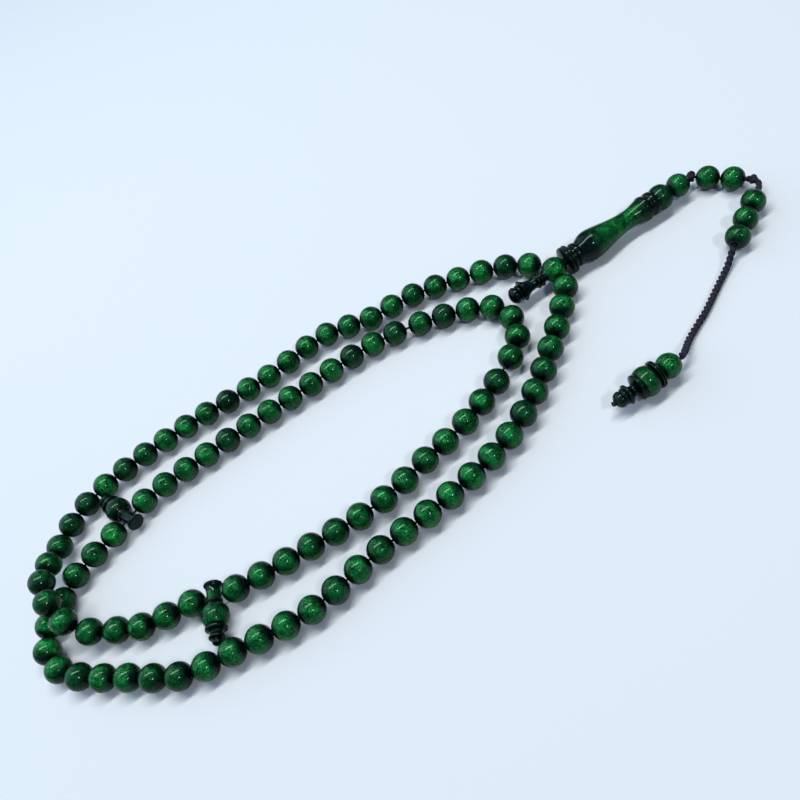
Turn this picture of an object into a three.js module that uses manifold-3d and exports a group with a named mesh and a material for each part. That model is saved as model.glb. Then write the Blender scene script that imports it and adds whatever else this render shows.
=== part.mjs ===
// Misbaha: 99 prayer beads on one closed string, with two dividers, a junction bead, an imame and a tail.
// Units are millimetres, +Z is up, and the strand lies on the plane Z = 0 in two turns, one inside the other.
import * as THREE from 'three';
import { mergeVertices } from 'three/addons/utils/BufferGeometryUtils.js';
import Module from 'manifold-3d';

const wasm = await Module();
wasm.setup();

// ---- Driving dimensions -------------------------------------------------------------------------------------------
const BEAD_DIAMETER = 8;
const TAIL_BEAD_DIAMETER = 7.6;
const BEAD_FLAT = 1.4; // radius of the small flat where a bore comes out
const BEAD_PLAY = 0.05; // bare string between two neighbouring beads
const BEADS_PER_THIRD = 33;
const LOOSE_BEADS = [31, 32, 33, 34, 65, 66, 67, 68, 69]; // modelled one by one; the others in runs of three
const STRING_DIAMETER = 0.9;
const BORE_CLEARANCE = 0.6; // radial, between a string and the bore round it
const LEAST_CLEARANCE = 0.1; // radial, where the string leaves a bore at an angle
const MATING_GAP = 0.3; // between faces that touch on the real object
const TURN_SEGMENTS = 12; // sides of a turned piece
const BEAD_SEGMENTS = 8;
const CORD_SIDES = 8;
const STRING_SIDES = 6;

const DIVIDER_CAP_DIAMETER = 5.5;
const DIVIDER_NECK_DIAMETER = 4.1; // of the cap, where the string goes through it
const DIVIDER_ROOM = 1.5; // bare string beside the cap, both sides together
const DIVIDER_BALL_DIAMETER = 8;

const JUNCTION_DIAMETER = 8;
const IMAME_BULB_DIAMETER = 10.1;
const IMAME_LENGTH = 41.6;
const IMAME_FLANGE_DIAMETER = 9.8;
const CORE_DIAMETER = 1.6;
const CORE_SWAY = 1.1; // how far the core thread can swing sideways in the mouth of the junction bead

const TAIL_CORD_DIAMETER = 2.2;
const KNOT_DIAMETER = 3;
const SWING_ROOM = 0.7; // in front of a cord end that bends against a bead

const ORNAMENT_BEAD_DIAMETER = 7.4;
const ORNAMENT_BOWL_DIAMETER = 9.1;
const ORNAMENT_DISC_DIAMETER = 8.5;
const ORNAMENT_DISC_LENGTH = 1.4;

// ---- How the strand lies ------------------------------------------------------------------------------------------
// The loop's route as [x, y, layer], from the junction bead round both turns. Layer 1 rides a whole bead higher.
const LOOP_ROUTE = [
  [63.5, 9.2, 0.13], [58.5, 19, 0], [52.5, 24, 0], [39.5, 30.5, 0], [22.5, 36.5, 0], [8, 38, 0],
  [-7.5, 43.5, 0], [-30.5, 42, 0], [-62.5, 44, 0], [-87.5, 43, 0], [-102.5, 39.5, 0], [-114, 31.5, 0],
  [-116, 26.5, 0.25], [-120, 19.5, 0.65], [-120, 9, 1], [-118, 0, 0.75], [-114, -5.5, 0.25],
  [-105.5, -10.5, 0], [-98, -14.5, 0], [-83, -17.5, 0], [-71.5, -21.5, 0], [-47, -24.5, 0],
  [-23, -25.5, 0], [-6.5, -22.5, 0], [9.5, -19.5, 0], [25.5, -13.5, 0], [33.5, -9, 0], [39.5, -4, 0],
  [42.5, 3.5, 0], [40, 12.5, 0], [34.5, 16.5, 0], [19, 23.5, 0], [3.5, 27.5, 0], [-21, 28, 0],
  [-53.5, 28, 0], [-86, 26, 0], [-98, 21.5, 0], [-112.5, 16.5, 0], [-119.5, 10.5, 0], [-125.5, 5, 0],
  [-127.5, -3, 0], [-125, -11, 0], [-120.5, -16, 0], [-107, -26, 0], [-92.5, -35.5, 0], [-79, -38, 0],
  [-55.5, -41.5, 0], [-31.5, -38.5, 0], [-7, -37, 0], [15.5, -32.5, 0], [30.5, -25, 0], [44.5, -14.5, 0],
  [56.5, -4, 0], [62.5, 2.5, 0],
];
// Where the string shows: [bead, bare string before it].
const SLACK = [[1, 1.3], [27, 1.1], [40, 0.25], [42, 0.25], [44, 0.3], [47, 1.5], [50, 0.3], [54, 0.8]];
// Each divider follows the last bead of a third and points between two beads of the outer turn.
const DIVIDERS = [
  { name: 'divider_1', after: 33, between: [79, 80] },
  { name: 'divider_2', after: 66, between: [21, 22] },
];

// The tail: two straight groups of beads, each from a first bead along a heading, in degrees.
const TAIL_UPPER = { first: [122.4, 5.9], heading: -54.5, beads: 2 };
const TAIL_LOWER = { first: [123.4, -12.5], heading: 210, beads: 3 };
const KNOTTED_BEND = [130.3, -7.4]; // where the stretch between the two groups swings widest
// The twisted cord between the last tail bead and the ornament, as [x, y, z].
const TAIL_CORD_ROUTE = [
  [104.6, -23.4, 3.2], [102.6, -24.6, 2.1], [100.3, -25.8, 1.4], [96.2, -27.9, 1.15], [92.3, -30, 1.15],
  [88.4, -32.1, 1.15], [84.7, -34, 1.15], [80.8, -35.7, 1.15], [77.2, -37.3, 1.2], [74.4, -38.9, 1.7],
  [72.1, -40.7, 2.8], [70.3, -42.2, 3.9],
];
const ORNAMENT_AT = [63.5, -43.4]; // middle of the ornament's bead; its axis points along -X

// ---- Derived sizes ------------------------------------------------------------------------------------------------
const BEAD_RADIUS = BEAD_DIAMETER / 2;
const TAIL_BEAD_RADIUS = TAIL_BEAD_DIAMETER / 2;
const PITCH = BEAD_DIAMETER + BEAD_PLAY;
const JUNCTION_STEP = (JUNCTION_DIAMETER + BEAD_DIAMETER) / 2 + BEAD_PLAY;
const STRING_RADIUS = STRING_DIAMETER / 2;
const BORE_RADIUS = STRING_RADIUS + BORE_CLEARANCE;
const CORE_BORE_RADIUS = CORE_DIAMETER / 2 + BORE_CLEARANCE;
const BEAD_COUNT = 3 * BEADS_PER_THIRD;
const AXIS_HEIGHT = IMAME_BULB_DIAMETER / 2;
const ORNAMENT_HEIGHT = ORNAMENT_BOWL_DIAMETER / 2;

// ---- Materials ----------------------------------------------------------------------------------------------------
const resin = () => new THREE.MeshStandardMaterial({ color: 0x14602a, roughness: 0.12, metalness: 0 });
const darkResin = () => new THREE.MeshStandardMaterial({ color: 0x0a1f16, roughness: 0.15, metalness: 0 });
const thread = () => new THREE.MeshStandardMaterial({ color: 0x15131c, roughness: 0.8, metalness: 0 });

const model = new THREE.Group();

function add(name, geometry, material) {
  const mesh = new THREE.Mesh(geometry, material);
  mesh.name = name;
  model.add(mesh);
}

// ---- Solids -------------------------------------------------------------------------------------------------------
function toSolid(geometry) {
  const bare = geometry.clone();
  bare.deleteAttribute('normal');
  bare.deleteAttribute('uv');
  const merged = mergeVertices(bare, 1e-4);
  return new wasm.Manifold(new wasm.Mesh({
    numProp: 3,
    vertProperties: new Float32Array(merged.attributes.position.array),
    triVerts: new Uint32Array(merged.index.array),
  }));
}

function toGeometry(solid) {
  const mesh = solid.getMesh();
  const geometry = new THREE.BufferGeometry();
  geometry.setAttribute('position', new THREE.BufferAttribute(new Float32Array(mesh.vertProperties), 3));
  geometry.setIndex(new THREE.BufferAttribute(new Uint32Array(mesh.triVerts), 1));
  geometry.computeVertexNormals();
  return geometry;
}

// Turns a lathe's +Y axis to a direction, its +Z side staying uppermost, and moves its zero to a point.
function placement(at, direction) {
  const side = direction.clone().cross(new THREE.Vector3(0, 0, 1)).normalize();
  const up = side.clone().cross(direction);
  return new THREE.Matrix4().makeBasis(side, direction, up).setPosition(at);
}

const place = (geometry, at, direction) => geometry.applyMatrix4(placement(at, direction));

// A skin over rings given as [centre, direction, radius], the last ring joined to the first.
function skinOver(rings, sides) {
  const positions = [];
  const faces = [];
  rings.forEach(([centre, direction, radius], k) => {
    const frame = placement(centre, direction);
    const next = (k + 1) % rings.length;
    for (let i = 0; i < sides; i += 1) {
      const angle = (2 * Math.PI * i) / sides;
      const corner = new THREE.Vector3(radius * Math.sin(angle), 0, radius * Math.cos(angle)).applyMatrix4(frame);
      positions.push(...corner);
      const j = (i + 1) % sides;
      const [a, b, c, d] = [k * sides + i, k * sides + j, next * sides + i, next * sides + j];
      faces.push(a, b, d, a, d, c);
    }
  });
  const geometry = new THREE.BufferGeometry();
  geometry.setAttribute('position', new THREE.Float32BufferAttribute(positions, 3));
  geometry.setIndex(faces);
  geometry.computeVertexNormals();
  return geometry;
}

// A turned piece from [distance along its axis, diameter] pairs, solid, or drilled when a bore radius is given.
function turned(outline, segments, bore = 0) {
  const points = outline.map(([along, diameter]) => new THREE.Vector2(diameter / 2, along));
  const first = points[0].y;
  const last = points[points.length - 1].y;
  points.unshift(new THREE.Vector2(bore, first));
  points.push(new THREE.Vector2(bore, last));
  if (bore > 0) points.push(new THREE.Vector2(bore, first));
  return new THREE.LatheGeometry(points, segments);
}

// A curve whose stations are the listed points themselves.
class ThroughPoints extends THREE.CatmullRomCurve3 {
  getUtoTmapping(u) {
    return u;
  }
}

function tubeThrough(points, radius, sides) {
  const section = new THREE.Shape();
  for (let i = 0; i < sides; i += 1) {
    const angle = (2 * Math.PI * i) / sides;
    const corner = [radius * Math.cos(angle), radius * Math.sin(angle)];
    if (i === 0) section.moveTo(...corner);
    else section.lineTo(...corner);
  }
  const path = new ThroughPoints(points, false, 'centripetal');
  return new THREE.ExtrudeGeometry(section, { steps: points.length - 1, extrudePath: path, bevelEnabled: false });
}

function rod(from, to, radius, sides) {
  const length = from.distanceTo(to);
  const direction = to.clone().sub(from).normalize();
  return place(turned([[0, 2 * radius], [length, 2 * radius]], sides), from, direction);
}

const ahead = (from, direction, distance) => from.clone().addScaledVector(direction, distance);
const towards = (from, to) => to.clone().sub(from).normalize();
const middle = (a, b) => a.clone().lerp(b, 0.5);

// ---- Beads on the route -------------------------------------------------------------------------------------------
function routePath(scale) {
  const [x0, y0] = LOOP_ROUTE[0];
  const points = LOOP_ROUTE.map(([x, y, layer]) => new THREE.Vector3(
    x0 + (x - x0) * scale,
    y0 + (y - y0) * scale,
    BEAD_RADIUS + layer * PITCH,
  ));
  const path = new THREE.CatmullRomCurve3(points, true, 'centripetal').getPoints(24 * points.length);
  path.forEach((point) => {
    point.z = Math.max(point.z, BEAD_RADIUS);
  });
  return path;
}

// Distance from each bead's centre to the one before it, the junction bead being the first.
function steps() {
  const list = Array(BEAD_COUNT).fill(PITCH);
  list[0] = JUNCTION_STEP;
  for (const [bead, bare] of SLACK) list[bead - 1] += bare;
  for (const { after } of DIVIDERS) list[after] += DIVIDER_NECK_DIAMETER + DIVIDER_ROOM;
  return list;
}

// Bead centres along a path, each a straight step from the last; empty when the path is too short.
function walk(path, distances) {
  const centres = [];
  let last = path[0];
  let i = 1;
  for (const step of distances) {
    while (i < path.length && path[i].distanceTo(last) < step) i += 1;
    if (i >= path.length) return [];
    let low = 0;
    let high = 1;
    for (let k = 0; k < 30; k += 1) {
      const t = (low + high) / 2;
      if (path[i - 1].clone().lerp(path[i], t).distanceTo(last) < step) low = t;
      else high = t;
    }
    last = path[i - 1].clone().lerp(path[i], high);
    centres.push(last);
  }
  return centres;
}

// The route grows or shrinks round the junction bead until the last bead just meets that bead again.
function layBeads() {
  const distances = steps();
  let low = 0.5;
  let high = 2;
  for (let k = 0; k < 40; k += 1) {
    const scale = (low + high) / 2;
    const path = routePath(scale);
    const centres = walk(path, distances);
    const closing = centres.length ? centres[BEAD_COUNT - 1].distanceTo(path[0]) : 0;
    if (closing < JUNCTION_STEP) low = scale;
    else high = scale;
  }
  return walk(routePath(high), distances);
}

const junctionAt = new THREE.Vector3(LOOP_ROUTE[0][0], LOOP_ROUTE[0][1], AXIS_HEIGHT);
const beadAt = layBeads();
const alongX = new THREE.Vector3(1, 0, 0);

// String stations: every bead's centre, and the middle of each divider's cap.
const dividerHole = DIVIDERS.map(({ after }) => middle(beadAt[after - 1], beadAt[after]));
const capHalf = DIVIDER_CAP_DIAMETER / 2;

function beadAxis(i) {
  const before = i === 0 ? junctionAt : beadAt[i - 1];
  const after = i === BEAD_COUNT - 1 ? junctionAt : beadAt[i + 1];
  return towards(before, after);
}

function beadOutline(diameter) {
  const radius = diameter / 2;
  const face = Math.sqrt(radius * radius - BEAD_FLAT * BEAD_FLAT);
  const shoulder = 0.35 * radius;
  const wide = 2 * Math.sqrt(radius * radius - shoulder * shoulder);
  return [[-face, 2 * BEAD_FLAT], [-shoulder, wide], [shoulder, wide], [face, 2 * BEAD_FLAT]];
}

// How wide a loose bead's bore is: wide enough for the string, which leans against the bore where the strand bends.
function looseBore(i) {
  const on = towards(beadAt[i], i === BEAD_COUNT - 1 ? junctionAt : beadAt[i + 1]);
  const sway = BEAD_RADIUS * Math.tan(on.angleTo(beadAxis(i)));
  return Math.max(BORE_RADIUS, STRING_RADIUS + LEAST_CLEARANCE + sway);
}

// One drilled bead, free to turn on its string.
function looseBead(diameter, bore, at, direction) {
  return place(turned(beadOutline(diameter), BEAD_SEGMENTS, bore), at, direction);
}

// Neighbouring beads joined face to face, with the string's bore through them all.
function beadRun(first, count) {
  const outside = [];
  const bore = [];
  const [[face, mouth], [shoulder, wide]] = beadOutline(BEAD_DIAMETER).map(([x, y]) => [Math.abs(x), y / 2]);
  for (let i = first; i < first + count; i += 1) {
    const at = beadAt[i];
    const back = towards(i === 0 ? junctionAt : beadAt[i - 1], at);
    const on = towards(at, i === BEAD_COUNT - 1 ? junctionAt : beadAt[i + 1]);
    const axis = beadAxis(i);
    outside.push([ahead(at, back, -face), back, mouth], [ahead(at, axis, -shoulder), axis, wide]);
    outside.push([ahead(at, axis, shoulder), axis, wide], [ahead(at, on, face), on, mouth]);
    bore.unshift([at, axis, BORE_RADIUS]);
  }
  const [start, startDirection] = outside[0];
  const [end, endDirection] = outside[outside.length - 1];
  const rings = [...outside, [end, endDirection, BORE_RADIUS], ...bore, [start, startDirection, BORE_RADIUS]];
  return skinOver(rings, BEAD_SEGMENTS);
}

function addBeads() {
  const label = (i) => String(i + 1).padStart(2, '0');
  let i = 0;
  while (i < BEAD_COUNT) {
    if (LOOSE_BEADS.includes(i + 1)) {
      add(`bead_${label(i)}`, looseBead(BEAD_DIAMETER, looseBore(i), beadAt[i].clone(), beadAxis(i)), resin());
      i += 1;
    } else {
      add(`beads_${label(i)}_to_${label(i + 2)}`, beadRun(i, 3), resin());
      i += 3;
    }
  }
}

// ---- Loop string: one length for each third, end to end inside the dividers' caps ---------------------------------
function addString() {
  const entry = JUNCTION_DIAMETER / 2 - 0.6;
  const starts = [ahead(junctionAt, towards(junctionAt, beadAt[0]), entry)];
  const ends = [];
  DIVIDERS.forEach(({ after }, k) => {
    const direction = towards(beadAt[after - 1], beadAt[after]);
    ends.push(ahead(dividerHole[k], direction, -MATING_GAP / 2));
    starts.push(ahead(dividerHole[k], direction, MATING_GAP / 2));
  });
  ends.push(ahead(junctionAt, towards(junctionAt, beadAt[BEAD_COUNT - 1]), entry));
  for (let k = 0; k < 3; k += 1) {
    const beads = beadAt.slice(k * BEADS_PER_THIRD, (k + 1) * BEADS_PER_THIRD);
    add(`loop_string_${k + 1}`, tubeThrough([starts[k], ...beads, ends[k]], STRING_RADIUS, STRING_SIDES), thread());
  }
}

// ---- Dividers: turned along their own axis, zero where the string crosses the cap ---------------------------------
function dividerOutline() {
  const ball = DIVIDER_BALL_DIAMETER;
  const ballAt = 2 + ball / 2;
  const lip = ballAt + 0.45 * ball;
  return [
    [-3.9, DIVIDER_CAP_DIAMETER - 0.6], [-3.5, DIVIDER_CAP_DIAMETER], [-2.4, DIVIDER_CAP_DIAMETER - 0.7],
    [-1, DIVIDER_NECK_DIAMETER], [1.3, DIVIDER_NECK_DIAMETER], [1.8, DIVIDER_NECK_DIAMETER + 0.8],
    [2.4, DIVIDER_NECK_DIAMETER + 0.2], [ballAt - 0.3 * ball, 0.8 * ball], [ballAt - 0.12 * ball, 0.97 * ball],
    [ballAt, ball], [ballAt + 0.12 * ball, 0.97 * ball], [ballAt + 0.3 * ball, 0.8 * ball],
    [lip, 0.74 * ball], [lip + 0.6, 0.8 * ball], [lip + 1, 0.62 * ball], [lip + 1.3, 3.9], [lip + 2.2, 3.8],
    [lip + 2.7, 4.7], [lip + 3.2, 4.7], [lip + 3.6, 2.4], [lip + 4.2, 2.9], [lip + 4.7, 2.7], [lip + 5.3, 1.4],
  ];
}

function addDividers() {
  DIVIDERS.forEach(({ name, after, between }, k) => {
    const hole = dividerHole[k];
    const aim = middle(beadAt[between[0] - 1], beadAt[between[1] - 1]);
    const string = towards(beadAt[after - 1], beadAt[after]);
    const body = toSolid(place(turned(dividerOutline(), TURN_SEGMENTS), hole.clone(), towards(hole, aim)));
    const bore = rod(ahead(hole, string, -capHalf - 1), ahead(hole, string, capHalf + 1), BORE_RADIUS, STRING_SIDES);
    add(name, toGeometry(body.subtract(toSolid(bore))), darkResin());
  });
}

// ---- Junction bead: ball and pawn finial in one, zero in the middle of the ball, pawn along -X --------------------
function junctionOutline() {
  const ball = JUNCTION_DIAMETER;
  const root = ball / 2;
  return [
    [-root * 0.96, 0.28 * ball], [-root * 0.8, 0.6 * ball], [-root * 0.45, 0.89 * ball], [0, ball],
    [root * 0.45, 0.89 * ball], [root * 0.8, 0.6 * ball], [root + 0.6, 4], [root + 1, 5.2], [root + 1.6, 5.2],
    [root + 1.9, 4.2], [root + 2.4, 5], [root + 3, 5], [root + 3.8, 3.8], [root + 5.6, 3.8], [root + 7, 4.6],
    [root + 8.4, 7], [root + 8.9, 7], [root + 9.3, 4.6], [root + 9.9, 5.2], [root + 10.4, 4.6], [root + 11.2, 5.5],
    [root + 12.2, 4.8], [root + 13.2, 2],
  ];
}

function addJunction() {
  let body = toSolid(place(turned(junctionOutline(), TURN_SEGMENTS), junctionAt.clone(), alongX.clone().negate()));
  const sideBore = STRING_RADIUS + 2 * BORE_CLEARANCE;
  for (const bead of [beadAt[0], beadAt[BEAD_COUNT - 1]]) {
    body = body.subtract(toSolid(rod(junctionAt, middle(junctionAt, bead), sideBore, STRING_SIDES)));
    body = body.subtract(toSolid(rod(middle(junctionAt, bead), bead, sideBore, STRING_SIDES)));
  }
  const mouth = JUNCTION_DIAMETER / 2 + 0.1;
  const mouthOutline = [[0.2 * JUNCTION_DIAMETER, CORE_DIAMETER], [mouth, CORE_DIAMETER + 2 * CORE_SWAY]];
  const endBore = place(turned(mouthOutline, CORD_SIDES), junctionAt.clone(), alongX);
  add('junction_bead', toGeometry(body.subtract(toSolid(endBore))), darkResin());
}

// ---- Imame: flange, neck ring, bulb, long waist, two rings and a ball end, drilled through, along +X --------------
function imameOutline() {
  const bulb = IMAME_BULB_DIAMETER;
  const flange = IMAME_FLANGE_DIAMETER;
  const end = IMAME_LENGTH;
  return [
    [0, 6.6], [0.1, flange - 0.6], [0.8, flange], [1.1, flange - 0.5], [1.5, flange], [2.2, flange - 1],
    [2.5, 7], [3.3, 7.1], [4.3, 8], [4.9, 7.9], [5.6, 7.3], [7, 8.7], [8.4, 9.7], [0.25 * end, bulb],
    [0.33 * end, 0.91 * bulb], [0.42 * end, 0.77 * bulb], [0.51 * end, 0.65 * bulb], [0.6 * end, 0.61 * bulb],
    [0.66 * end, 0.65 * bulb], [0.725 * end, 8.2], [0.745 * end, 8.4], [0.77 * end, 7.1], [0.8 * end, 7.9],
    [0.825 * end, 7.8], [0.84 * end, 7], [0.87 * end, 8.1], [0.905 * end, 8.4], [0.945 * end, 7.8],
    [0.98 * end, 5.6], [end, 3.4],
  ];
}

const imameStart = junctionAt.x + JUNCTION_DIAMETER / 2 + MATING_GAP;
const tailBead1 = new THREE.Vector3(imameStart + IMAME_LENGTH + TAIL_BEAD_RADIUS, junctionAt.y, AXIS_HEIGHT);

// ---- Tail ---------------------------------------------------------------------------------------------------------
function group({ first, heading, beads }) {
  const direction = alongX.clone().applyAxisAngle(new THREE.Vector3(0, 0, 1), THREE.MathUtils.degToRad(heading));
  const start = new THREE.Vector3(...first, TAIL_BEAD_RADIUS);
  const pitch = TAIL_BEAD_DIAMETER + 2 * BEAD_PLAY;
  return { direction, at: Array.from({ length: beads }, (_, i) => ahead(start, direction, i * pitch)) };
}

function addImameAndCore() {
  const flangeFace = new THREE.Vector3(imameStart, junctionAt.y, AXIS_HEIGHT);
  const body = turned(imameOutline(), TURN_SEGMENTS, CORE_BORE_RADIUS);
  add('imame', place(body, flangeFace, alongX), darkResin());
  const coreStart = ahead(junctionAt, alongX, 0.4 * JUNCTION_DIAMETER);
  const coreEnd = ahead(tailBead1, alongX, TAIL_BEAD_RADIUS);
  add('core_thread', rod(coreStart, coreEnd, CORE_DIAMETER / 2, CORD_SIDES), thread());
  add('tail_bead_1', looseBead(TAIL_BEAD_DIAMETER, CORE_BORE_RADIUS, tailBead1.clone(), alongX), resin());
}

function knot(at, diameter) {
  return toSolid(new THREE.SphereGeometry(diameter / 2, 8, 6).translate(at.x, at.y, at.z));
}

function addTailGroups() {
  const upper = group(TAIL_UPPER);
  const lower = group(TAIL_LOWER);
  [...upper.at, ...lower.at].forEach((at, i) => {
    const { direction } = i < upper.at.length ? upper : lower;
    add(`tail_bead_${i + 2}`, looseBead(TAIL_BEAD_DIAMETER, BORE_RADIUS, at.clone(), direction), resin());
  });
  // The upper thread comes out of the first tail bead, bends at its knot and stops in the last bead of its group.
  const knotAt = ahead(upper.at[0], upper.direction, -(TAIL_BEAD_RADIUS + KNOT_DIAMETER / 2));
  const upperEnd = ahead(upper.at[upper.at.length - 1], upper.direction, TAIL_BEAD_RADIUS);
  const lead = toSolid(rod(ahead(tailBead1, alongX, TAIL_BEAD_RADIUS + SWING_ROOM), knotAt, 0.8, CORD_SIDES));
  const upperThread = toSolid(rod(knotAt, upperEnd, STRING_RADIUS, STRING_SIDES));
  add('tail_thread_1', toGeometry(lead.add(upperThread).add(knot(knotAt, KNOT_DIAMETER))), thread());
  // The lower thread is a thick knotted stretch, then the same thin thread through its beads.
  const bendStart = ahead(upperEnd, upper.direction, SWING_ROOM);
  const bendEnd = ahead(lower.at[0], lower.direction, -(TAIL_BEAD_RADIUS + MATING_GAP));
  const widest = new THREE.Vector3(...KNOTTED_BEND, TAIL_BEAD_RADIUS);
  const stretch = toSolid(tubeThrough([
    bendStart, ahead(bendStart, upper.direction, 1.4), widest, ahead(bendEnd, lower.direction, -1.4), bendEnd,
  ], TAIL_CORD_DIAMETER / 2, CORD_SIDES));
  const lowerEnd = ahead(lower.at[lower.at.length - 1], lower.direction, TAIL_BEAD_RADIUS);
  const lowerThread = toSolid(rod(ahead(bendEnd, lower.direction, -0.5), lowerEnd, STRING_RADIUS, STRING_SIDES));
  add('tail_thread_2', toGeometry(stretch.add(lowerThread).add(knot(widest, KNOT_DIAMETER))), thread());
  return lower;
}

function addTailCord(lower) {
  const last = lower.at[lower.at.length - 1];
  const start = ahead(last, lower.direction, TAIL_BEAD_RADIUS + SWING_ROOM);
  const end = new THREE.Vector3(
    ORNAMENT_AT[0] + ORNAMENT_BEAD_DIAMETER / 2 + SWING_ROOM,
    ORNAMENT_AT[1],
    ORNAMENT_HEIGHT,
  );
  const route = TAIL_CORD_ROUTE.map((point) => new THREE.Vector3(...point));
  add('tail_cord', tubeThrough([start, ...route, end], TAIL_CORD_DIAMETER / 2, CORD_SIDES), thread());
}

// ---- End ornament: bead, grooved disc and finial on one thread, along -X ------------------------------------------
function finialOutline() {
  const bowl = ORNAMENT_BOWL_DIAMETER;
  return [
    [0, 0.84 * bowl], [0.8, 0.93 * bowl], [2.2, bowl], [3.6, 0.96 * bowl], [4.6, 0.87 * bowl], [4.9, 0.8 * bowl],
    [5.3, 7.8], [5.9, 7.2], [6.5, 4.6], [7, 3.4], [7.6, 3.5], [8.3, 4.6], [8.9, 6.2], [9.4, 6.2], [9.8, 4.4],
    [10.2, 4.9], [10.5, 4.2], [11.2, 4.9], [12.2, 4.5], [13.1, 2.4],
  ];
}

function addOrnament() {
  const back = alongX.clone().negate();
  const bead = new THREE.Vector3(...ORNAMENT_AT, ORNAMENT_HEIGHT);
  const discAt = ahead(bead, back, ORNAMENT_BEAD_DIAMETER / 2 - 0.1);
  const bowlAt = ahead(discAt, back, ORNAMENT_DISC_LENGTH + MATING_GAP);
  const disc = ORNAMENT_DISC_DIAMETER;
  const rim = ORNAMENT_DISC_LENGTH;
  const discOutline = [[0, disc - 3], [0.1, disc - 0.7], [0.3 * rim, disc], [0.5 * rim, disc - 0.6],
    [0.7 * rim, disc], [rim - 0.1, disc - 0.7], [rim, disc - 3]];
  const finialEnd = finialOutline().at(-1)[0];
  add('ornament_bead', looseBead(ORNAMENT_BEAD_DIAMETER, BORE_RADIUS, bead.clone(), back), resin());
  add('ornament_disc', place(turned(discOutline, TURN_SEGMENTS, BORE_RADIUS), discAt.clone(), back), darkResin());
  add('ornament_finial', place(turned(finialOutline(), TURN_SEGMENTS, BORE_RADIUS), bowlAt.clone(), back), darkResin());
  const threadStart = ahead(bead, back, -(ORNAMENT_BEAD_DIAMETER / 2 - 0.4));
  const threadEnd = ahead(bowlAt, back, finialEnd + 0.4);
  const core = toSolid(rod(threadStart, threadEnd, STRING_RADIUS, STRING_SIDES));
  const stop = knot(ahead(threadEnd, back, 0.4), 2 * STRING_DIAMETER * 0.75);
  add('ornament_thread', toGeometry(core.add(stop)), thread());
}

addBeads();
addString();
addDividers();
addJunction();
addImameAndCore();
addTailCord(addTailGroups());
addOrnament();

// The origin is on the table, under the middle of the laid-out strand.
const spread = new THREE.Box3().setFromObject(model);
model.position.set(-(spread.min.x + spread.max.x) / 2, -(spread.min.y + spread.max.y) / 2, -spread.min.z);

export default model;
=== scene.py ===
import math
import random

import bmesh
import bpy
from mathutils import Matrix, Quaternion, Vector


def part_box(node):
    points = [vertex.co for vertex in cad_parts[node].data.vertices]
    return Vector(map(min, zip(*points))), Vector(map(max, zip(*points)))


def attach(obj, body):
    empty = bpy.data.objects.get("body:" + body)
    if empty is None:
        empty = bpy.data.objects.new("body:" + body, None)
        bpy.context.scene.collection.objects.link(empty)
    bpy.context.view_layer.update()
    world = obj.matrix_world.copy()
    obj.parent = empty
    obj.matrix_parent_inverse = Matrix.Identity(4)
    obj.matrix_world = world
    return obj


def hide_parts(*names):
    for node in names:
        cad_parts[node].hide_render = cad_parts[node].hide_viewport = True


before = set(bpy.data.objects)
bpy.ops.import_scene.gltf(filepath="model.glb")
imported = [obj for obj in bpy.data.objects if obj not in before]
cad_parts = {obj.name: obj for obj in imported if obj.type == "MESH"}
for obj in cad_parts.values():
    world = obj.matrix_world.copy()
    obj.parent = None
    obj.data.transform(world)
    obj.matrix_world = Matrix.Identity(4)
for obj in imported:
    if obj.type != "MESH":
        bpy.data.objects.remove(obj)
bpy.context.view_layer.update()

scene = bpy.context.scene
MM = 0.001

# ---- Camera: held by hand over the table and looking down at the strand. It is rolled a little, so
# the strand climbs to the upper right of the view.
EYE = Vector((-22.4, -154.3, 192.5)) * MM
LOOKS_AT = Vector((-1.4, 1.4, 4)) * MM
CAMERA_ROLL = math.radians(-28.37)

camera = bpy.data.objects.new("camera", bpy.data.cameras.new("camera"))
scene.collection.objects.link(camera)
camera.data.lens = 36
camera.data.sensor_width = 36
camera.data.clip_start = 0.01
level_view = (LOOKS_AT - EYE).to_track_quat("-Z", "Y")
rolled_view = level_view @ Quaternion((0, 0, 1), CAMERA_ROLL)
camera.matrix_world = Matrix.LocRotScale(EYE, rolled_view, None)
scene.camera = camera
scene.view_settings.view_transform = "Standard"

# ---- Thread: black waxed nylon with a faint violet cast. It is twisted from two plies where it is
# loose and thick, and from three where it is thin or hidden.


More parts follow.
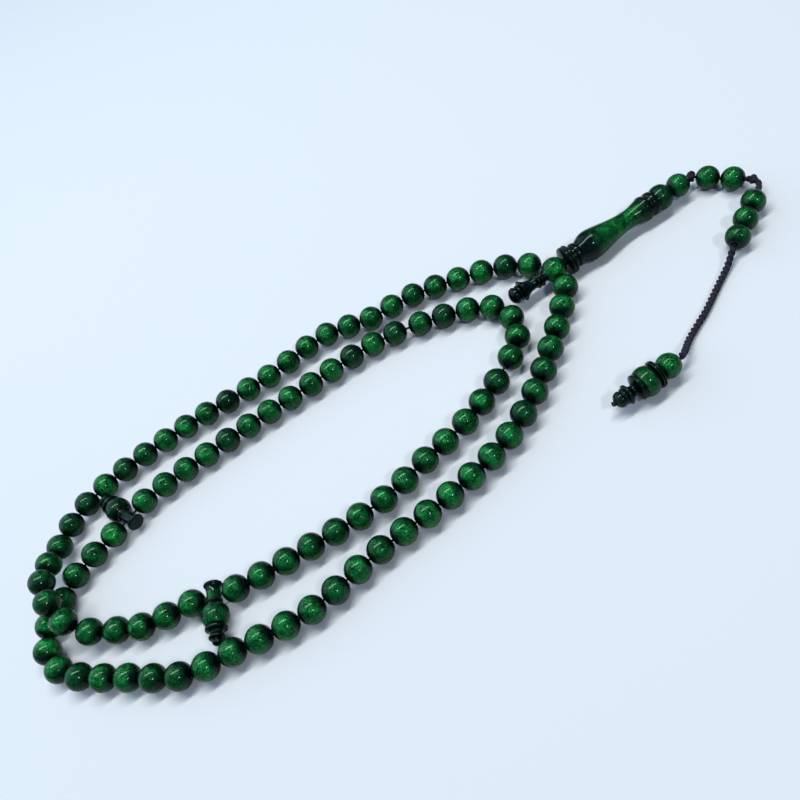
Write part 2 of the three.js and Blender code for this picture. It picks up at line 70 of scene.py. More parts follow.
def thread_finish():
    material = bpy.data.materials.new("waxed black thread")
    material.use_nodes = True
    nodes, links = material.node_tree.nodes, material.node_tree.links
    shader = nodes["Principled BSDF"]
    shader.inputs["Specular IOR Level"].default_value = 0.22
    shader.inputs["Sheen Weight"].default_value = 0.02
    shader.inputs["Sheen Roughness"].default_value = 0.5
    shader.inputs["Sheen Tint"].default_value = (0.45, 0.42, 0.75, 1)
    place = nodes.new("ShaderNodeTexCoord")
    # Single filaments show as fine flecks.
    flecks = nodes.new("ShaderNodeTexNoise")
    flecks.inputs["Scale"].default_value = 5200
    flecks.inputs["Detail"].default_value = 3
    links.new(place.outputs["Object"], flecks.inputs["Vector"])
    tone = nodes.new("ShaderNodeValToRGB")
    tone.color_ramp.elements[0].position = 0.3
    tone.color_ramp.elements[0].color = (0.0012, 0.0012, 0.003, 1)
    tone.color_ramp.elements[1].position = 0.75
    tone.color_ramp.elements[1].color = (0.011, 0.01, 0.026, 1)
    links.new(flecks.outputs["Fac"], tone.inputs["Fac"])
    links.new(tone.outputs["Color"], shader.inputs["Base Color"])
    gloss = nodes.new("ShaderNodeMapRange")
    gloss.inputs["To Min"].default_value = 0.5
    gloss.inputs["To Max"].default_value = 0.8
    links.new(flecks.outputs["Fac"], gloss.inputs["Value"])
    links.new(gloss.outputs["Result"], shader.inputs["Roughness"])
    relief = nodes.new("ShaderNodeBump")
    relief.inputs["Strength"].default_value = 0.6
    relief.inputs["Distance"].default_value = 0.00008
    links.new(flecks.outputs["Fac"], relief.inputs["Height"])
    links.new(relief.outputs["Normal"], shader.inputs["Normal"])
    return material


waxed_thread = thread_finish()


def finished(name, mesh, body, slot, *nodes):
    """A finished piece, already shaded smooth: riding on its body and standing for its CAD nodes.
    """
    piece = bpy.data.objects.new(name, mesh)
    scene.collection.objects.link(piece)
    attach(piece, body)
    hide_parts(*nodes)
    return piece


def on_curve(points, i, t):
    """The point a share t of the way from point i to the next, on a smooth curve through all."""
    a, b = points[i], points[i + 1]
    before = points[i - 1] if i else a * 2 - b
    after = points[i + 2] if i + 2 < len(points) else b * 2 - a
    bend = (before * -1 + a * 3 - b * 3 + after) * t ** 3
    pull = (before * 2 - a * 5 + b * 4 - after) * t ** 2
    return (a * 2 + (b - before) * t + pull + bend) * 0.5


def smooth_line(points, step):
    """Points about a step apart on a smooth curve through the given ones."""
    line = []
    for i in range(len(points) - 1):
        count = max(2, round((points[i + 1] - points[i]).length / step))
        line += [on_curve(points, i, k / count) for k in range(count)]
    line.append(points[-1].copy())
    return line


def worked_out(thing):
    """The mesh of an object, with its curve drawn or its modifiers done."""
    bpy.context.view_layer.update()
    result = thing.evaluated_get(bpy.context.evaluated_depsgraph_get())
    return bpy.data.meshes.new_from_object(result)


def strand_mesh(name, line, radius, sides=10):
    """A round strand of one ply along a line of points, its ends closed."""
    data = bpy.data.curves.new(name, "CURVE")
    data.dimensions = "3D"
    data.bevel_depth = radius
    data.bevel_resolution = (sides - 4) // 2
    data.use_fill_caps = True
    spline = data.splines.new("POLY")
    spline.points.add(len(line) - 1)
    for point, at in zip(spline.points, line):
        point.co = (*at, 1)
    drawn = bpy.data.objects.new(name, data)
    scene.collection.objects.link(drawn)
    mesh = worked_out(drawn)
    bpy.data.objects.remove(drawn)
    return mesh


SAME_PLACE = 1e-7


def joined(name, meshes, material):
    """One smooth mesh from several."""
    form = bmesh.new()
    for mesh in meshes:
        form.from_mesh(mesh)
    bmesh.ops.remove_doubles(form, verts=form.verts, dist=SAME_PLACE)
    for face in form.faces:
        face.smooth = True
        face.material_index = 0
    mesh = bpy.data.meshes.new(name)
    form.to_mesh(mesh)
    form.free()
    mesh.materials.clear()
    mesh.materials.append(material)
    return mesh


PLY_SHARE = 0.27  # the radius of one ply over the diameter of the whole thread


def twisted(name, line, diameter, lay_length, plies=3):
    """Plies laid round a line, one full turn in each lay length."""
    ply = PLY_SHARE * diameter
    out = 0.5 * diameter - ply
    meshes = []
    for k in range(plies):
        path = []
        gone = 0
        for i, at in enumerate(line):
            heading = (line[min(i + 1, len(line) - 1)] - line[max(i - 1, 0)]).normalized()
            side = heading.cross(Vector((0, 0, 1))).normalized()
            up = side.cross(heading)
            if i:
                gone += (at - line[i - 1]).length
            turn = 2 * math.pi * (gone / lay_length + k / plies)
            path.append(at + (side * math.cos(turn) + up * math.sin(turn)) * out)
        meshes.append(strand_mesh(f"{name}_ply_{k}", path, ply))
    return joined(name, meshes, waxed_thread)


# ---- Twisted tail cord: the thick cord from the last tail bead to the end ornament. It lies on the
# table in a gentle curve and lifts at each end to the bore that it comes from.
TAIL_CORD_DIAMETER = 2.2 * MM
TAIL_CORD_LAY = 3.5 * MM
TAIL_BEAD_DIAMETER = 7.6 * MM
SWING_ROOM = 0.7 * MM
TAIL_BEAD_PLAY = 0.1 * MM
CORD_STEP = 0.35 * MM
# The strand was laid out with the imame's inner end here, and then brought over the origin.
IMAME_LAID_OUT = (67.8 * MM, 9.2 * MM)
imame_low, imame_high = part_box("imame")
imame_middle = (imame_low.y + imame_high.y) / 2
LAID = Vector((imame_low.x - IMAME_LAID_OUT[0], imame_middle - IMAME_LAID_OUT[1], 0))
TAIL_CORD_ROUTE = [
    (104.6, -23.4, 3.2), (102.6, -24.6, 2.1), (100.3, -25.8, 1.4), (96.2, -27.9, 1.15),
    (92.3, -30, 1.15), (88.4, -32.1, 1.15), (84.7, -34, 1.15), (80.8, -35.7, 1.15),
    (77.2, -37.3, 1.2), (74.4, -38.9, 1.7), (72.1, -40.7, 2.8), (70.3, -42.2, 3.9),
]
LOWER_FIRST = Vector((123.4, -12.5, 3.8)) * MM
LOWER_HEADING = math.radians(210)
lower_way = Vector((math.cos(LOWER_HEADING), math.sin(LOWER_HEADING), 0))
TAIL_PITCH = TAIL_BEAD_DIAMETER + TAIL_BEAD_PLAY
lower_beads = [LAID + LOWER_FIRST + lower_way * TAIL_PITCH * i for i in range(3)]
ORNAMENT_AT = LAID + Vector((63.5, -43.4, 4.55)) * MM
ORNAMENT_BEAD_DIAMETER = 7.4 * MM

cord_start = lower_beads[2] + lower_way * (TAIL_BEAD_DIAMETER / 2 + SWING_ROOM)
cord_end = ORNAMENT_AT + Vector((ORNAMENT_BEAD_DIAMETER / 2 + SWING_ROOM, 0, 0))
cord_points = [cord_start] + [LAID + Vector(p) * MM for p in TAIL_CORD_ROUTE] + [cord_end]
cord_line = smooth_line(cord_points, CORD_STEP)
cord_mesh = twisted("tail_cord_twisted", cord_line, TAIL_CORD_DIAMETER, TAIL_CORD_LAY, 2)
tail_cord = finished("tail_cord_twisted", cord_mesh, "cord", "thread", "tail_cord")

# ---- Where the beads lie: the strand is folded into two turns, one inside the other, and crosses
# itself at the end away from the imame. Each bead all but touches the one before it, apart from the
# few places where bare thread shows.
BEAD_DIAMETER = 8 * MM
BEAD_PITCH = 8.05 * MM
DIVIDER_PLACE = 5.6 * MM
DIVIDERS_AFTER = (33, 66)
# Bare thread before a bead, in millimetres.
SLACK = {1: 1.3, 27: 1.1, 40: 0.25, 42: 0.25, 44: 0.3, 47: 1.5, 50: 0.3, 54: 0.8}
BEADS = 99
BEADS_PER_THIRD = 33
POINTS_PER_LEG = 24
STEP_HALVINGS = 30
SCALE_HALVINGS = 40
# The route as x, y and layer, from the junction bead round both turns. Layer 1 rides a bead higher.
LOOP_ROUTE = [
    (63.5, 9.2, 0.13), (58.5, 19, 0), (52.5, 24, 0), (39.5, 30.5, 0), (22.5, 36.5, 0), (8, 38, 0),
    (-7.5, 43.5, 0), (-30.5, 42, 0), (-62.5, 44, 0), (-87.5, 43, 0), (-102.5, 39.5, 0),
    (-114, 31.5, 0), (-116, 26.5, 0.25), (-120, 19.5, 0.65), (-120, 9, 1), (-118, 0, 0.75),
    (-114, -5.5, 0.25), (-105.5, -10.5, 0), (-98, -14.5, 0), (-83, -17.5, 0), (-71.5, -21.5, 0),
    (-47, -24.5, 0), (-23, -25.5, 0), (-6.5, -22.5, 0), (9.5, -19.5, 0), (25.5, -13.5, 0),
    (33.5, -9, 0), (39.5, -4, 0), (42.5, 3.5, 0), (40, 12.5, 0), (34.5, 16.5, 0), (19, 23.5, 0),
    (3.5, 27.5, 0), (-21, 28, 0), (-53.5, 28, 0), (-86, 26, 0), (-98, 21.5, 0), (-112.5, 16.5, 0),
    (-119.5, 10.5, 0), (-125.5, 5, 0), (-127.5, -3, 0), (-125, -11, 0), (-120.5, -16, 0),
    (-107, -26, 0), (-92.5, -35.5, 0), (-79, -38, 0), (-55.5, -41.5, 0), (-31.5, -38.5, 0),
    (-7, -37, 0), (15.5, -32.5, 0), (30.5, -25, 0), (44.5, -14.5, 0), (56.5, -4, 0), (62.5, 2.5, 0),
]
AXIS_HEIGHT = 5.05 * MM


def loop_line(scale):
    """The closed route, grown round the junction bead, as close points."""
    start = Vector((LOOP_ROUTE[0][0], LOOP_ROUTE[0][1], 0)) * MM
    knots = []
    for x, y, layer in LOOP_ROUTE:
        flat = start + (Vector((x, y, 0)) * MM - start) * scale
        knots.append(flat + Vector((0, 0, BEAD_DIAMETER / 2 + layer * BEAD_PITCH)))
    line = []
    for i, b in enumerate(knots):
        a, c, d = knots[i - 1], knots[(i + 1) % len(knots)], knots[(i + 2) % len(knots)]
        ab, bc, cd = math.sqrt((b - a).length), math.sqrt((c - b).length), math.sqrt((d - c).length)
        leave = ((b - a) / ab - (c - a) / (ab + bc) + (c - b) / bc) * bc
        arrive = ((c - b) / bc - (d - b) / (bc + cd) + (d - c) / cd) * bc
        for k in range(POINTS_PER_LEG):
            t = k / POINTS_PER_LEG
            ease = 3 * t ** 2 - 2 * t ** 3
            at = b * (1 - ease) + c * ease + leave * (t ** 3 - 2 * t ** 2 + t)
            at += arrive * (t ** 3 - t ** 2)
            at.z = max(at.z, BEAD_DIAMETER / 2)
            line.append(at)
    line.append(line[0].copy())
    return line


def lay_beads(line, steps):
    """Bead centres along the line, each a straight step from the last, or none if it is short."""
    centres = []
    last, i = line[0], 1
    for step in steps:
        while i < len(line) and (line[i] - last).length < step:
            i += 1
        if i == len(line):
            return []
        low, high = 0.0, 1.0
        for _ in range(STEP_HALVINGS):
            t = (low + high) / 2
            near = (line[i - 1].lerp(line[i], t) - last).length < step
            low, high = (t, high) if near else (low, t)
        last = line[i - 1].lerp(line[i], high)
        centres.append(last)
    return centres


bead_steps = []
for i in range(BEADS):
    divider_room = DIVIDER_PLACE if i in DIVIDERS_AFTER else 0
    bead_steps.append(BEAD_PITCH + SLACK.get(i + 1, 0) * MM + divider_room)
smallest, largest = 0.9, 1.1
for _ in range(SCALE_HALVINGS):
    scale = (smallest + largest) / 2
    line = loop_line(scale)
    centres = lay_beads(line, bead_steps)
    if not centres or (centres[-1] - line[0]).length < BEAD_PITCH:
        smallest = scale
    else:
        largest = scale
bead_at = [LAID + at for at in lay_beads(loop_line(largest), bead_steps)]
junction_at = LAID + Vector((LOOP_ROUTE[0][0] * MM, LOOP_ROUTE[0][1] * MM, AXIS_HEIGHT))
stations = [junction_at, *bead_at, junction_at]
bead_way = [(stations[i + 2] - stations[i]).normalized() for i in range(BEADS)]
divider_hole = [(bead_at[after - 1] + bead_at[after]) / 2 for after in DIVIDERS_AFTER]

# ---- Loop string: one thin thread through every bead, in three lengths that part inside the
# dividers. It shows only beside the dividers and at the few slack places.
STRING_DIAMETER = 0.9 * MM
STRING_LAY = 2 * MM
STRING_STEP = 0.6 * MM
JUNCTION_END = 3.4 * MM  # from the middle of the junction bead to where the string starts
HALF_BREAK = 0.15 * MM  # half the break between two lengths, inside a divider


def string_length(name, points):
    line = []
    for a, b in zip(points, points[1:]):
        count = max(1, round((b - a).length / STRING_STEP))
        line += [a.lerp(b, k / count) for k in range(count)]
    return twisted(name, line + [points[-1]], STRING_DIAMETER, STRING_LAY)


string_breaks = [junction_at + (bead_at[0] - junction_at).normalized() * JUNCTION_END]
for hole, after in zip(divider_hole, DIVIDERS_AFTER):
    half_gap = (bead_at[after] - bead_at[after - 1]).normalized() * HALF_BREAK
    string_breaks += [hole - half_gap, hole + half_gap]
string_breaks.append(junction_at + (bead_at[-1] - junction_at).normalized() * JUNCTION_END)
for k in range(3):
    third = bead_at[BEADS_PER_THIRD * k : BEADS_PER_THIRD * (k + 1)]
    points = [string_breaks[2 * k], *third, string_breaks[2 * k + 1]]
    name = f"loop_string_{k + 1}"
    mesh = string_length(f"{name}_twisted", points)
    finished(f"{name}_twisted", mesh, "loop", "thread", name)

# ---- Beads: turned from pressed green resin with silky fibres inside, drilled through the middle
# and polished to a high gloss. The fibres catch the light as a bright green patch that fades to
# near black.
BORE_RADIUS = 0.8 * MM
BORE_ROUNDING = 0.35 * MM
TURNED_SIDES = 40
DARKEST_BEAD = 0.75
# Painted shade: each bead is painted darker towards both ends, round its bores, where beads meet.
DARKEST_END_SHADE = 0.92
END_SHADE_STARTS = 0.42  # as a share of the way from a bead's middle to its end
END_SHADE_GROWS_OVER = 0.42


def resin_finish(name, deep, bright, fibre_length):
    """Green resin: silky fibres under a clear polished skin. The piece brings its own grain, in
    millimetres."""
    material = bpy.data.materials.new(name)
    material.use_nodes = True
    nodes, links = material.node_tree.nodes, material.node_tree.links
    shader = nodes["Principled BSDF"]
    shader.inputs["Metallic"].default_value = 0.9
    shader.inputs["Specular Tint"].default_value = (0.03, 0.3, 0.22, 1)
    shader.inputs["Coat Weight"].default_value = 1
    shader.inputs["Coat Roughness"].default_value = 0.075
    shader.inputs["Coat IOR"].default_value = 1.22
    grain = nodes.new("ShaderNodeAttribute")
    grain.attribute_name = "grain"
    drawn_out = nodes.new("ShaderNodeMapping")
    drawn_out.inputs["Scale"].default_value = (3, 3, 3 / fibre_length)
    links.new(grain.outputs["Vector"], drawn_out.inputs["Vector"])
    fibres = nodes.new("ShaderNodeTexNoise")
    fibres.inputs["Scale"].default_value = 1
    fibres.inputs["Detail"].default_value = 3
    fibres.inputs["Roughness"].default_value = 0.65
    fibres.inputs["Distortion"].default_value = 0.8
    links.new(drawn_out.outputs["Vector"], fibres.inputs["Vector"])
    clouds = nodes.new("ShaderNodeTexNoise")
    clouds.inputs["Scale"].default_value = 0.22
    clouds.inputs["Detail"].default_value = 1
    links.new(grain.outputs["Vector"], clouds.inputs["Vector"])
    depth = nodes.new("ShaderNodeMath")
    depth.operation = "MULTIPLY_ADD"
    depth.inputs[1].default_value = 0.22
    links.new(clouds.outputs["Fac"], depth.inputs[0])
    thin = nodes.new("ShaderNodeMath")
    thin.operation = "MULTIPLY"
    thin.inputs[1].default_value = 0.8
    links.new(fibres.outputs["Fac"], thin.inputs[0])
    links.new(thin.outputs["Value"], depth.inputs[2])
    tone = nodes.new("ShaderNodeValToRGB")
    tone.color_ramp.elements[0].position = 0.4
    tone.color_ramp.elements[0].color = (*deep, 1)
    tone.color_ramp.elements[1].position = 0.66
    tone.color_ramp.elements[1].color = (*bright, 1)
    links.new(depth.outputs["Value"], tone.inputs["Fac"])
    # Some of the resin is darker: whole beads at random, and the ends of the longer turned pieces.
    # The same mask also holds painted shade at each bead's ends, where beads meet, and painted
    # light and shade on the dividers.
    tone_and_painted_shade = nodes.new("ShaderNodeAttribute")
    tone_and_painted_shade.attribute_name = "tone_and_painted_shade"
    shade = nodes.new("ShaderNodeMix")
    shade.data_type = "RGBA"
    shade.inputs["B"].default_value = (0.001, 0.004, 0.0045, 1)
    links.new(tone_and_painted_shade.outputs["Fac"], shade.inputs["Factor"])
    links.new(tone.outputs["Color"], shade.inputs["A"])
    links.new(shade.outputs["Result"], shader.inputs["Base Color"])
    silk = nodes.new("ShaderNodeMapRange")
    silk.inputs["To Min"].default_value = 0.34
    silk.inputs["To Max"].default_value = 0.5
    links.new(fibres.outputs["Fac"], silk.inputs["Value"])
    links.new(silk.outputs["Result"], shader.inputs["Roughness"])
    shimmer = nodes.new("ShaderNodeBump")
    shimmer.inputs["Strength"].default_value = 0.7
    shimmer.inputs["Distance"].default_value = 0.0003
    links.new(fibres.outputs["Fac"], shimmer.inputs["Height"])
    # The fibres don't lie flat under the skin, so the bright patch sits elsewhere on each bead.
    drift = nodes.new("ShaderNodeBump")
    drift.inputs["Strength"].default_value = 1
    drift.inputs["Distance"].default_value = 0.002
    links.new(clouds.outputs["Fac"], drift.inputs["Height"])
    links.new(drift.outputs["Normal"], shimmer.inputs["Normal"])
    links.new(shimmer.outputs["Normal"], shader.inputs["Normal"])
    return material


bead_resin = resin_finish("silky green resin", (0.0004, 0.006, 0.004), (0.01, 0.22, 0.043), 2.5)


def turned(outline, bore=0):
    """A form turned round +Z from pairs of distance and radius, drilled if it is given a bore."""
    form = bmesh.new()
    first, last = outline[0][0], outline[-1][0]
    points = [(bore, first)] + [(radius, along) for along, radius in outline] + [(bore, last)]
    corners = [form.verts.new((x, 0, z)) for x, z in points]
    edges = [form.edges.new(pair) for pair in zip(corners, corners[1:])]
    if bore:
        edges.append(form.edges.new((corners[-1], corners[0])))
    bmesh.ops.spin(
        form, geom=corners + edges, axis=(0, 0, 1), cent=(0, 0, 0), angle=2 * math.pi,
        steps=TURNED_SIDES, use_merge=True,
    )
    bmesh.ops.remove_doubles(form, verts=form.verts, dist=SAME_PLACE)
    bmesh.ops.recalc_face_normals(form, faces=form.faces)
    return form


def bead_outline(radius, bore):
    """A ball with its two ends rounded into the bore."""
    rim = bore + BORE_ROUNDING
    reach = math.asin(rim / radius)
    face = radius * math.cos(reach)
    arc = [math.pi - reach - (math.pi - 2 * reach) * k / 22 for k in range(23)]
    ball = [(radius * math.cos(a), radius * math.sin(a)) for a in arc]
    lip = 0.55 * BORE_ROUNDING
    return [(-face + 0.1 * MM, bore), (-face - 0.02 * MM, bore + lip), *ball,
            (face + 0.02 * MM, bore + lip), (face - 0.1 * MM, bore)]


def upright(at, way):
    """The placement that takes +Z to a direction and the origin to a point."""
    return Matrix.Translation(at) @ way.to_track_quat("Z", "Y").to_matrix().to_4x4()


def settle(form, at, way, seed, tone_and_painted_shade=None, fibre_tilt=0.5):
    """Puts a turned form in its place and gives its resin a grain of its own, in millimetres. The
    darkness function, if given, says how dark the resin is painted, from 0 to 1, at a distance
    along
    the axis in millimetres: the resin's own dark tone, and on the dividers painted light and shade
    as well. Without it a bead gets a dark tone at random and painted shade towards both ends, where
    beads meet."""
    luck = random.Random(seed)
    shade = form.verts.layers.float.new("tone_and_painted_shade")
    whole = DARKEST_BEAD * luck.random() ** 2
    for vert in form.verts:
        if tone_and_painted_shade:
            vert[shade] = tone_and_painted_shade(vert.co.z / MM)
            continue
        # Painted shade towards both ends, where beads meet, over a dark tone that each bead gets at
        # random.
        along = abs(vert.co.z) / (BEAD_DIAMETER / 2)
        ends = min(1, max(0, (along - END_SHADE_STARTS) / END_SHADE_GROWS_OVER))
        vert[shade] = whole + (DARKEST_END_SHADE - whole) * ends * ends * (3 - 2 * ends)
    grain = form.verts.layers.float_vector.new("grain")
    fibre_axis = (luck.uniform(-1, 1), luck.uniform(-1, 1), 0.1)
    tilt = Quaternion(fibre_axis, luck.uniform(0, fibre_tilt) * math.pi)
    shift = Vector((luck.uniform(0, 900), luck.uniform(0, 900), luck.uniform(0, 900)))
    for vert in form.verts:
        vert[grain] = tilt @ (vert.co / MM) + shift
    bmesh.ops.transform(form, matrix=upright(at, way), verts=form.verts)
    return form


def mesh_of(name, forms, material, sharp=math.radians(35)):
    """One mesh from finished forms, smooth except at its sharp edges."""
    whole = bmesh.new()
    for form in forms:
        part = bpy.data.meshes.new("part")
        form.to_mesh(part)
        form.free()
        whole.from_mesh(part)
        bpy.data.meshes.remove(part)
    for face in whole.faces:
        face.smooth = True
    for edge in whole.edges:
        edge.smooth = len(edge.link_faces) == 2 and edge.calc_face_angle(0) < sharp
    mesh = bpy.data.meshes.new(name)
    whole.to_mesh(mesh)
    whole.free()
    mesh.materials.append(material)
    return mesh


def bead(radius, at, way, seed):
    return settle(turned(bead_outline(radius, BORE_RADIUS), BORE_RADIUS), at, way, seed)


LOOSE_BEADS = [31, 32, 33, 34, 65, 66, 67, 68, 69]
i = 0
while i < BEADS:
    loose = i + 1 in LOOSE_BEADS
    count = 1 if loose else 3
    name = f"bead_{i + 1:02d}" if loose else f"beads_{i + 1:02d}_to_{i + 3:02d}"
    run = range(i, i + count)
    forms = [bead(BEAD_DIAMETER / 2, bead_at[k], bead_way[k], k + 1) for k in run]
    mesh = mesh_of(name, forms, bead_resin)
    finished(f"{name}_polished", mesh, name if loose else "loop", "bead", name)
    i += count

# ---- Turned pieces: the dividers, junction bead, imame and end ornament are turned on a lathe from
# the same resin. Their thin parts look almost black, and the imame's bulb keeps the silky green.
STEPS_PER_PAIR = 4
DRILL_SIDES = 24
LEAST_RADIUS = 0.01 * MM


def curved(*segments):
    """A fine outline in metres from segments of distance and diameter pairs in millimetres. Each
    segment is one smooth curve, and two segments meet in a sharp corner."""
    outline = []
    for segment in segments:
        points = [Vector((along, width / 2, 0)) * MM for along, width in segment]
        count = STEPS_PER_PAIR if len(points) > 2 else 1
        for i in range(len(points) - 1):
            outline += [on_curve(points, i, k / count) for k in range(count)]
        outline.append(points[-1])
    pairs = zip(outline, outline[1:])
    kept = [outline[0]] + [b for a, b in pairs if (b - a).length > SAME_PLACE]
    return [(point.x, max(point.y, LEAST_RADIUS)) for point in kept]


def drilled(mesh, start, end, radius):
    """The mesh with a round hole drilled through it from one point to another."""
    drill = bmesh.new()
    bmesh.ops.create_cone(
        drill, cap_ends=True, segments=DRILL_SIDES, radius1=radius, radius2=radius,
        depth=(end - start).length,
    )
    placed = upright((start + end) / 2, (end - start).normalized())
    bmesh.ops.transform(drill, matrix=placed, verts=drill.verts)
    tool_mesh = bpy.data.meshes.new("drill")
    drill.to_mesh(tool_mesh)
    drill.free()
    tool = bpy.data.objects.new("drill", tool_mesh)
    blank = bpy.data.objects.new("blank", mesh)
    scene.collection.objects.link(tool)
    scene.collection.objects.link(blank)
    cut = blank.modifiers.new("hole", "BOOLEAN")
    cut.operation = "DIFFERENCE"
    cut.solver = "EXACT"
    cut.object = tool
    result = worked_out(blank)
    result.name = mesh.name
    bpy.data.objects.remove(blank)
    bpy.data.objects.remove(tool)
    return result


# ---- Dividers: one after the first third of the beads and one after the second. The string goes
# across through the flared cap, and the ball and finial hang from it. Each points between two beads
# of the outer turn.
DIVIDER_POINTS_BETWEEN = ((79, 80), (21, 22))
DIVIDER_BORE_RADIUS = 0.85 * MM
DRILL_REACH = 4 * MM


def divider_outline():
    return curved(
        [(-4, 0.2), (-3.95, 3.4), (-3.85, 4.7)],
        [(-3.85, 4.7), (-3.65, 5.3), (-3.35, 5.5), (-3.05, 5.3)],
        [(-3.05, 5.3), (-2.5, 4.6), (-1.6, 4.2), (-0.4, 4.05), (0.8, 4.1), (1.5, 4.3)],
        [(1.5, 4.3), (1.75, 4.85), (2.05, 4.85), (2.3, 4.3)],
        [(2.3, 4.3), (2.5, 4.7), (2.8, 4.8), (3, 4.9)],
        [(3, 4.9), (3.4, 6), (4.1, 7.1), (5, 7.8), (6, 8), (7, 7.8), (8, 7.05), (8.8, 6.1),
         (9.3, 5.3)],
        [(9.3, 5.3), (9.5, 6.1), (9.8, 6.4), (10.2, 6.35), (10.5, 5.9)],
        [(10.5, 5.9), (10.7, 4.7), (11, 4), (11.5, 3.6)],
        [(11.5, 3.6), (12, 4.2), (12.3, 4.7), (12.7, 4.75), (12.95, 4.4)],
        [(12.95, 4.4), (13.1, 2.6), (13.3, 2.4)],
        [(13.3, 2.4), (13.7, 2.9), (14.1, 2.9), (14.5, 2.4), (14.8, 1.5), (14.9, 0.2)],
    )


# Painted light and shade: the two dividers are alike, but the near one's ball and the cap round its
# hole are painted a lighter green, as lit, and the far one's ball darker, as shaded. Their thin
# parts keep the dark resin tone.
def near_divider_tone_and_painted_light(along):
    return 0.35 if 3.5 < along < 9 or -1.2 < along < 1.4 else 0.95


def far_divider_tone_and_painted_shade(along):
    return 0.82 if 3.5 < along < 9 else 0.95


for k, between in enumerate(DIVIDER_POINTS_BETWEEN):
    hole = divider_hole[k]
    way = ((bead_at[between[0] - 1] + bead_at[between[1] - 1]) / 2 - hole).normalized()
    after = DIVIDERS_AFTER[k]
    across = (bead_at[after] - bead_at[after - 1]).normalized() * DRILL_REACH
    tone_and_painted_shade = (near_divider_tone_and_painted_light, far_divider_tone_and_painted_shade)[k]
    form = settle(turned(divider_outline()), hole, way, 200 + k, tone_and_painted_shade)
    mesh = mesh_of(f"divider_{k + 1}_turned", [form], bead_resin)
    mesh = drilled(mesh, hole - across, hole + across, DIVIDER_BORE_RADIUS)
    finished(f"divider_{k + 1}_turned", mesh, f"divider_{k + 1}", "turned", f"divider_{k + 1}")

# ---- Junction bead: both ends of the loop string enter it from the sides and leave together
# towards the imame. A pawn-shaped finial is turned in one piece with it and points back into the
# loop.
SIDE_BORE_RADIUS = 1.3 * MM
TOWARDS_LOOP = Vector((-1, 0, 0))


def junction_outline():
    angles = [math.radians(152 - 5.5 * k) for k in range(23)]
    ball = [(4 * math.cos(a), 8 * math.sin(a)) for a in angles]
    return curved(
        [(-1.6, 1.6), (-3.53, 3.6)], ball, [ball[-1], (4.4, 3.5), (4.9, 3.9)],
        [(4.9, 3.9), (5.1, 4.9), (5.4, 5.2), (5.8, 5.1), (6, 4.5)], [(6, 4.5), (6.3, 4.3)],
        [(6.3, 4.3), (6.5, 4.9), (6.8, 5.1), (7.2, 5), (7.4, 4.4)],
        [(7.4, 4.4), (7.9, 3.9), (8.6, 3.75), (9.3, 3.8), (10, 4.1), (10.7, 4.6), (11.4, 5.3),
         (12, 6.2), (12.4, 6.9)],
        [(12.4, 6.9), (12.7, 7), (12.9, 6.7)], [(12.9, 6.7), (13.1, 5.2), (13.3, 4.6)],
        [(13.3, 4.6), (13.6, 5.2), (13.95, 5.25), (14.2, 4.7)], [(14.2, 4.7), (14.35, 4.4)],
        [(14.35, 4.4), (14.8, 5.3), (15.3, 5.55), (15.9, 5.25), (16.5, 4.4), (17, 3), (17.2, 1.4),
         (17.25, 0.2)],
    )


def junction_dusk(along):
    return 0.25 if along < 3.5 else 0.97


form = settle(turned(junction_outline()), junction_at, TOWARDS_LOOP, 300, junction_dusk)
mesh = mesh_of("junction_bead_turned", [form], bead_resin)
for neighbour in (bead_at[0], bead_at[-1]):
    mesh = drilled(mesh, junction_at, neighbour, SIDE_BORE_RADIUS)
finished("junction_bead_turned", mesh, "junction", "turned", "junction_bead")

# ---- Imame: the long leader that gathers the two strings. It has a grooved flange, a neck ring, a
# bulb drawn out to a slim waist, two rings and a ball end, and it is drilled from end to end.
IMAME_AT = junction_at + Vector((4.3, 0, 0)) * MM
IMAME_BORE = 1.3 * MM
OUTWARDS = Vector((1, 0, 0))


def imame_outline():
    return curved(
        [(0, 2.8), (0, 8.9)], [(0, 8.9), (0.2, 9.6), (0.55, 9.8), (0.8, 9.6)],
        [(0.8, 9.6), (1.1, 9), (1.4, 9.6)], [(1.4, 9.6), (1.65, 9.8), (2, 9.6), (2.2, 8.9)],
        [(2.2, 8.9), (2.35, 7.3), (2.8, 6.8), (3.3, 7)],
        [(3.3, 7), (3.6, 7.75), (4.1, 8.05), (4.7, 8), (5.1, 7.6)], [(5.1, 7.6), (5.4, 7.2)],
        [(5.4, 7.2), (6.4, 7.95), (7.7, 9.2), (9, 9.95), (10.3, 10.1), (11.6, 9.86), (14.3, 8.94),
         (16.9, 7.95), (19.6, 7), (22.2, 6.36), (24.9, 6.17), (26.2, 6.24), (27.5, 6.63),
         (28.9, 7.2), (30.5, 8)],
        [(30.5, 8), (30.9, 8.35), (31.7, 8.4), (32.2, 8)],
        [(32.2, 8), (32.5, 7.2), (32.9, 7.1), (33.3, 7.4)],
        [(33.3, 7.4), (33.7, 8), (34.6, 8.1), (35.1, 7.8)],
        [(35.1, 7.8), (35.5, 7.2), (35.9, 7.3)],
        [(35.9, 7.3), (36.8, 8.05), (37.7, 8.38), (38.5, 8.4), (39.4, 8.1), (40.2, 7.4),
         (40.9, 6.2), (41.4, 4.5), (41.6, 2.8)],
    )


def imame_dusk(along):
    near_flange = min(1, max(0, (14.5 - along) / 5))
    near_end = min(1, max(0, (along - 25) / 6))
    return max(0.97 * near_flange, 0.95 * near_end if along < 36 else 0.7)


form = settle(turned(imame_outline(), IMAME_BORE), IMAME_AT, OUTWARDS, 401, imame_dusk, 0)
finished("imame_turned", mesh_of("imame_turned", [form], bead_resin), "imame", "turned", "imame")

